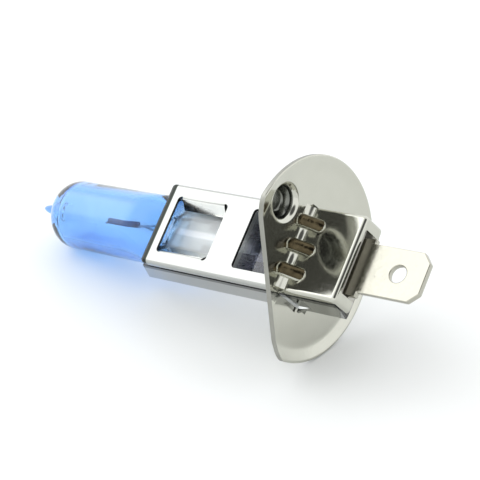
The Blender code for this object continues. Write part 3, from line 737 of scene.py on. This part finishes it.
def close_skin(shape, rings):
    """Joins the rings into one closed skin."""
    for ring, following in zip(rings, rings[1:]):
        for index in range(len(ring)):
            after = (index + 1) % len(ring)
            shape.faces.new((ring[index], ring[after], following[after], following[index]))
    shape.faces.new(list(reversed(rings[0])))
    shape.faces.new(rings[-1])


def dome_profile(radius, length, last_angle):
    """(distance, radius) over the dome, from the end of the tube."""
    points = []
    for step in range(17):
        angle = math.radians(last_angle) * step / 16
        points.append((TUBE_END + length * math.sin(angle), radius * math.cos(angle)))
    return points


def tip_profile(start):
    """(distance, radius) over the melted tip, from the dome's end."""
    points = [(along * MM, radius * MM) for along, radius in TIP_SHAPE]
    middle = ((start[0] + points[0][0]) / 2, (start[1] + points[0][1]) / 2 - 0.03 * MM)
    return [middle] + points


def glass_body():
    """The outside: flat pinch, neck, tube, dome and tip."""
    outer = bmesh.new()
    rings = []
    stations = [PINCH_REAR, PINCH_REAR + 0.12 * MM, PINCH_REAR + 0.4 * MM]
    stations += [PINCH_REAR + (PINCH_FRONT - PINCH_REAR) * step / 8 for step in range(1, 9)]
    stations += [PINCH_FRONT + (NECK - PINCH_FRONT) * step / 24 for step in range(1, 25)]
    stations += [NECK + (TUBE_END - NECK) * step / 6 for step in range(1, 6)]
    for along in stations:
        part = smooth_step((along - PINCH_FRONT) / (NECK - PINCH_FRONT))
        rounding = 1 - 0.12 * max(0.0, 1 - (along - PINCH_REAR) / (0.35 * MM)) ** 2
        width = (PINCH_HALF_WIDTH + (TUBE_RADIUS - PINCH_HALF_WIDTH) * part) * rounding
        height = (PINCH_HALF_THICKNESS + (TUBE_RADIUS - PINCH_HALF_THICKNESS) * part) * rounding
        ridge = 0.5 * (1 - smooth_step((along - 14 * MM) / (7 * MM)))
        rings.append(glass_section(outer, along, width, height, 0.35 + 0.65 * part, ridge))
    dome = dome_profile(TUBE_RADIUS, DOME_END - TUBE_END, 68)
    for along, radius in dome + tip_profile(dome[-1]):
        rings.append(glass_section(outer, along, radius, radius, 1.0))
    close_skin(outer, rings)
    return object_from(outer, "glass_body")


def glass_cavity():
    """The inside: a bore that flattens towards the pinch and ends in a funnel under the tip."""
    inner = bmesh.new()
    rings = []
    for step in range(13):
        part = step / 12
        along = NECK - 4.6 * MM + 5.0 * MM * part
        width = BORE_RADIUS * (0.62 + 0.38 * smooth_step(2 * part))
        height = 0.3 * MM + (BORE_RADIUS - 0.3 * MM) * smooth_step(part)
        rings.append(glass_section(inner, along, width, height, 0.8 + 0.2 * part))
    inner_dome = dome_profile(BORE_RADIUS, DOME_END - TUBE_END - 1.9 * MM, 66)
    for along, radius in inner_dome:
        rings.append(glass_section(inner, along, radius, radius, 1.0))
    start, mouth = inner_dome[-1]
    for step in range(1, 13):
        radius = mouth * (1 - step / 13) ** 1.1
        rings.append(glass_section(inner, start + 2.4 * MM * step / 12, radius, radius, 1.0))
    close_skin(inner, rings)
    cavity = object_from(inner, "glass_cavity")
    cavity.data.flip_normals()
    return cavity


def glass_envelope(film, clear):
    """One piece with two skins: the film outside and clear glass inside."""
    body = glass_body()
    outer_faces = len(body.data.polygons)
    whole = join([body, glass_cavity()])
    piece = finish_piece(whole, "glass_bulb", "glass_envelope", film, 60, False)
    piece.data.materials.append(clear)
    for face in piece.data.polygons[outer_faces:]:
        face.material_index = 1
    return piece


def round_wire(name, points, radius, node, material, resolution=3, smooth=0):
    """A wire along points; smooth adds points between them on a soft curve."""
    curve = bpy.data.curves.new(name, "CURVE")
    curve.dimensions = "3D"
    curve.bevel_depth = radius
    curve.bevel_resolution = resolution
    curve.use_fill_caps = True
    spline = curve.splines.new("NURBS" if smooth else "POLY")
    spline.points.add(len(points) - 1)
    for control, point in zip(spline.points, points):
        control.co = (*point, 1)
    if smooth:
        spline.use_endpoint_u = True
        spline.order_u = 3
        spline.resolution_u = smooth
    rough = new_object(name, curve)
    mesh = evaluated_mesh(rough)
    remove(rough)
    return finish_piece(new_object(name, mesh), name, node, material, 60, False)


def filament(coil_metal, wire_metal):
    """A coil, and the two wires that carry it."""
    rear, front = COIL_SPAN
    points = []
    for step in range(COIL_TURNS * COIL_STEPS + 1):
        angle = 2 * math.pi * step / COIL_STEPS
        along = rear + (front - rear) * step / (COIL_TURNS * COIL_STEPS)
        points.append((along, COIL_RADIUS * math.cos(angle), COIL_RADIUS * math.sin(angle)))
    round_wire("filament", points, COIL_WIRE, "filament_coil", coil_metal, 2)
    below, side = LEG_BELOW, LEG_SIDE
    long_leg = [
        (front + 0.1 * MM, COIL_RADIUS, 0),
        (front + 0.7 * MM, 0.3 * MM, 0.2 * below),
        (front + 0.9 * MM, 0.0, 0.7 * below),
        (front + 0.2 * MM, -0.4 * MM, below),
        (front - 1.0 * MM, -0.45 * MM, below),
        (NECK + 1.6 * MM, -0.45 * MM, below),
        (NECK - 1.2 * MM, 0.0, 0.85 * below),
        (NECK - 2.6 * MM, 0.25 * side, 0.45 * below),
        (NECK - 3.8 * MM, 0.8 * side, 0.1 * below),
        (NECK - 4.4 * MM, side, 0),
        (LEG_FOOT, side, 0),
    ]
    short_leg = [
        (rear - 0.1 * MM, COIL_RADIUS, 0),
        (rear - 0.6 * MM, 0.0, 0),
        (NECK - 1.8 * MM, -0.05 * side, 0),
        (NECK - 3.2 * MM, -0.5 * side, 0),
        (NECK - 4.2 * MM, -side, 0),
        (LEG_FOOT, -side, 0),
    ]
    for name, points in (("filament_leg_long", long_leg), ("filament_leg_short", short_leg)):
        round_wire(f"{name}_wire", points, LEG_WIRE, name, wire_metal, 3, 6)


# ---------------------------------------------------------------- sheet pieces

def paint_faces(obj, chosen, material):
    """Adds a material and gives it to the faces whose centre and normal are chosen."""
    obj.data.materials.append(material)
    for face in obj.data.polygons:
        if chosen(face.center, face.normal):
            face.material_index = len(obj.data.materials) - 1


def shell_edge(centre, normal):
    """True on sheared edges of the two shells: ends, windows, lower skirts and wall tops, and on the
    cover's rolled front. Their near-black colour is partly the dull cut edge and partly painted
    shade, for the dark gap under the cover's skirts and the dark front edge.
    """
    if abs(normal.x) > 0.55 or (centre.x > 21.3 * MM and normal.x > 0.08):
        return True
    if abs(normal.z) > 0.55:
        return abs(centre.y) > HALF_WIDTH - 0.45 * MM and 1.5 * MM < abs(centre.z) < SKIRT + 0.1 * MM
    in_window = TOP - 0.33 * MM < abs(centre.z) < TOP - 0.07 * MM
    return in_window and abs(abs(centre.y) - 3.95 * MM) < 0.12 * MM


def refined(node, name, material, width, segments=2, angle=40):
    """A CAD piece made again with its edges rounded and its bends smooth."""
    shape = bmesh.new()
    shape.from_mesh(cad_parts[node].data)
    bmesh.ops.remove_doubles(shape, verts=shape.verts, dist=0.002 * MM)
    bmesh.ops.dissolve_limit(shape, angle_limit=math.radians(0.6), verts=shape.verts,
                             edges=shape.edges)
    obj = object_from(shape, name)
    round_edges(obj, width, segments, angle)
    return finish_piece(obj, name, node, material)


def rounded_rectangle(x_span, half_width, radius):
    low, high = x_span
    outline = arc((high - radius, half_width - radius), radius, 90, 0, 5)
    outline += arc((high - radius, -half_width + radius), radius, 0, -90, 5)
    outline += arc((low + radius, -half_width + radius), radius, -90, -180, 5)
    outline += arc((low + radius, half_width - radius), radius, 180, 90, 5)
    return list(reversed(outline))


def upper_shell(material, edge_material, tab_highlight_material):
    """The front cover. Its front edge is rolled down, and two tabs lean in to hold the pinch."""
    rear, front = COVER_SPAN
    block = box("front_shell", (-2 * MM, front), (-HALF_WIDTH, HALF_WIDTH), (0.6 * MM, TOP))
    round_edges(block, HOOD_BEND, 8, 30)
    inner = HALF_WIDTH - SHEET
    cutters = [
        box("hollow", (-3 * MM, front - SHEET), (-inner, inner), (-1 * MM, TOP - SHEET)),
        box("below", (-3 * MM, front + MM), (-7 * MM, 7 * MM), (-2 * MM, SKIRT)),
        box("behind", (-4 * MM, rear), (-7 * MM, 7 * MM), (-2 * MM, 5 * MM)),
        box("mouth", (front - 0.9 * SHEET, front + MM), (-0.98 * inner, 0.98 * inner),
            (-2 * MM, TOP - 0.62 * MM)),
    ]
    for number, (x_span, half_width) in enumerate(WINDOWS):
        outline = rounded_rectangle(x_span, half_width, WINDOW_CORNER)
        cutters.append(prism(f"window_{number}", outline, 2 * MM, Matrix.Translation((0, 0, TOP))))
    combine(block, "DIFFERENCE", cutters)
    round_edges(block, 0.05 * MM, 2, 50)
    tabs = [clamp_tab(side) for side in (-1, 1)]
    whole = join([block, *tabs])
    piece = finish_piece(whole, "front_shell", "upper_shell", material)
    paint_faces(piece, shell_edge, edge_material)
    paint_faces(piece, tab_face, tab_highlight_material)
    return piece


def tab_face(centre, normal):
    """True on the upper faces of the clamp tabs, which get a brighter copy of the cover's nickel as a
    painted highlight.
    """
    return 12.32 * MM < centre.x < 19.28 * MM and 0.2 < normal.z < 0.95 and centre.z < TOP - 0.1 * MM


def clamp_tab(side):
    """A tab bent down from the front window's long edge, leaning inwards."""
    middle = TOP - SHEET / 2 - TAB_DROP
    slope = math.degrees(math.atan2(TAB_DEPTH, TAB_LEAN))
    path = [(TAB_ROOT + 0.3 * MM, middle)]
    path += arc((TAB_ROOT - 0.1 * MM, middle - TAB_BEND), TAB_BEND, 90, 90 + slope, 8)
    last, reach = path[-1], (TAB_LEAN - TAB_BEND) * 0.9
    path.append((last[0] - reach, last[1] - reach * TAB_DEPTH / TAB_LEAN))
    shape = bmesh.new()
    rows = []
    for index, (y, z) in enumerate(path):
        before, after = path[max(index - 1, 0)], path[min(index + 1, len(path) - 1)]
        along = Vector((after[0] - before[0], after[1] - before[1])).normalized()
        offset = Vector((-along.y, along.x)) * SHEET / 2
        row = []
        for x in TAB_SPAN:
            for sign in (-1, 1):
                corner = (x, side * (y + sign * offset.x), z + sign * offset.y)
                row.append(shape.verts.new(corner))
        rows.append(row)
    for row, following in zip(rows, rows[1:]):
        for first, second in ((0, 1), (1, 3), (3, 2), (2, 0)):
            shape.faces.new((row[first], row[second], following[second], following[first]))
    for row in (rows[0], rows[-1]):
        shape.faces.new((row[0], row[1], row[3], row[2]))
    tab = object_from(shape, "clamp_tab")
    round_edges(tab, 0.05 * MM, 2, 50)
    return tab


def blade(material):
    """The push-on blade, with a wider base under the hood."""
    end, front = BLADE_SPAN
    half, base, shoulder, cut = BLADE_HALF, BLADE_BASE_HALF, BLADE_SHOULDER, BLADE_CORNER
    outline = [(front, -base), (front, base), (shoulder, base), (shoulder, half), (end + cut, half)]
    outline += [(end, half - cut), (end, -half + cut), (end + cut, -half)]
    outline += [(shoulder, -half), (shoulder, -base)]
    plate = prism("blade", outline, BLADE_THICKNESS, Matrix.Translation((0, 0, 0.4 * MM)))
    upright = Matrix.Rotation(math.radians(90), 4, "Y")
    hole = drill(BLADE_HOLE_RADIUS, 64, Matrix.Translation((BLADE_HOLE_PLACE, 0, 0)) @ upright)
    combine(plate, "DIFFERENCE", [hole])
    round_edges(plate, 0.14 * MM, 3, 40)
    return finish_piece(plate, "blade", "blade_terminal", material)


# ---------------------------------------------------------------- assembly

def dress(node, material):
    """Gives a CAD node a material."""
    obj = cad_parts[node]
    obj.data.materials.clear()
    obj.data.materials.append(material)


def main():
    make_camera()
    make_world()
    make_floor()

    # The two shells' nickel carries painted dark bands: painted reflection on the cover's front edge,
    # painted shadow on the lower shell
    cover_metal_painted_reflection = metal("cover_nickel_painted_reflection", (0.46, 0.47, 0.45), (0.42, 0.43, 0.41), (0.04, 0.12),
                        0.001 * MM, painted_dark_band=COVER_PAINTED_REFLECTION)
    shell_metal_painted_shadow = metal("shell_nickel_painted_shadow", (0.44, 0.45, 0.44), (0.40, 0.41, 0.40), (0.04, 0.12),
                        0.001 * MM, painted_dark_band=SHELL_PAINTED_SHADOW)
    tarnish = metal("bead_tarnish", (0.13, 0.105, 0.06), (0.012, 0.009, 0.005), (0.05, 0.28),
                    0.4 * MM, grain_scale=900, patch_scale=1300)
    # Painted shade: the dimple's inside is painted darker, as shade in the recess
    cup_shade_metal = metal("dimple_painted_shade", (0.20, 0.205, 0.185), (0.11, 0.115, 0.10), (0.10, 0.28),
                      0.03 * MM, grain_scale=1500)
    flange_metal = metal("flange_nickel", (0.545, 0.545, 0.485), (0.49, 0.49, 0.43), (0.08, 0.16),
                         0.002 * MM, grain_scale=2500, lean=(0.078, -0.095, 0.0))
    blade_metal = metal("blade_plating", (0.475, 0.465, 0.40), (0.43, 0.42, 0.36), (0.16, 0.28),
                        0.002 * MM)
    # Darker rim: partly a rougher cut finish, partly painted shade
    rim_metal_and_shade = metal("flange_rim_and_painted_shade", (0.36, 0.36, 0.33), (0.28, 0.28, 0.25), (0.30, 0.45), 0.003 * MM)
    # Near-black edges: partly a dull cut finish, partly painted shade in the gaps between the shells
    # and on the cover's front edge
    edge_metal_and_shade = metal("sheared_edge_and_painted_shade", (0.10, 0.10, 0.10), (0.05, 0.05, 0.05), (0.35, 0.55),
                       0.004 * MM)
    wire_metal = metal("wire_molybdenum", (0.45, 0.45, 0.47), (0.30, 0.30, 0.32), (0.2, 0.4),
                       0.01 * MM, grain_scale=1500, grain=(1, 8, 8))
    coil_metal = metal("tungsten", (0.04, 0.145, 0.31), (0.025, 0.08, 0.17), (0.3, 0.5), 0.01 * MM)
    # Painted highlight: the same nickel as the cover, made much brighter on the tabs
    tab_highlight_metal = metal("clamp_tab_painted_highlight", (0.86, 0.87, 0.84), (0.80, 0.81, 0.78), (0.08, 0.20),
                      0.001 * MM)
    film = glass("blue_film_glass", True)
    clay = ceramic()
    materials = {
        "glass_envelope": film,
        "filament_coil": coil_metal,
        "filament_leg_long": wire_metal,
        "filament_leg_short": wire_metal,
        "foil_live": wire_metal,
        "foil_earth": wire_metal,
        "outer_lead_live": wire_metal,
        "outer_lead_earth": wire_metal,
        "weld_live": cover_metal_painted_reflection,
        "weld_earth": cover_metal_painted_reflection,
        "upper_shell": cover_metal_painted_reflection,
        "lower_shell": shell_metal_painted_shadow,
        "flange": flange_metal,
        "insulator_upper": clay,
        "insulator_lower": clay,
        "blade_terminal": blade_metal,
    }
    for node, material in materials.items():
        dress(node, material)
    flange_with_hood(flange_metal, rim_metal_and_shade, tarnish, cup_shade_metal)
    glass_envelope(film, glass("clear_glass", False))
    filament(coil_metal, wire_metal)
    upper_shell(cover_metal_painted_reflection, edge_metal_and_shade, tab_highlight_metal)
    lower = refined("lower_shell", "rear_shell", shell_metal_painted_shadow, 0.05 * MM)
    paint_faces(lower, shell_edge, edge_metal_and_shade)
    blade(blade_metal)
    bpy.context.scene.view_settings.view_transform = "Standard"


main()
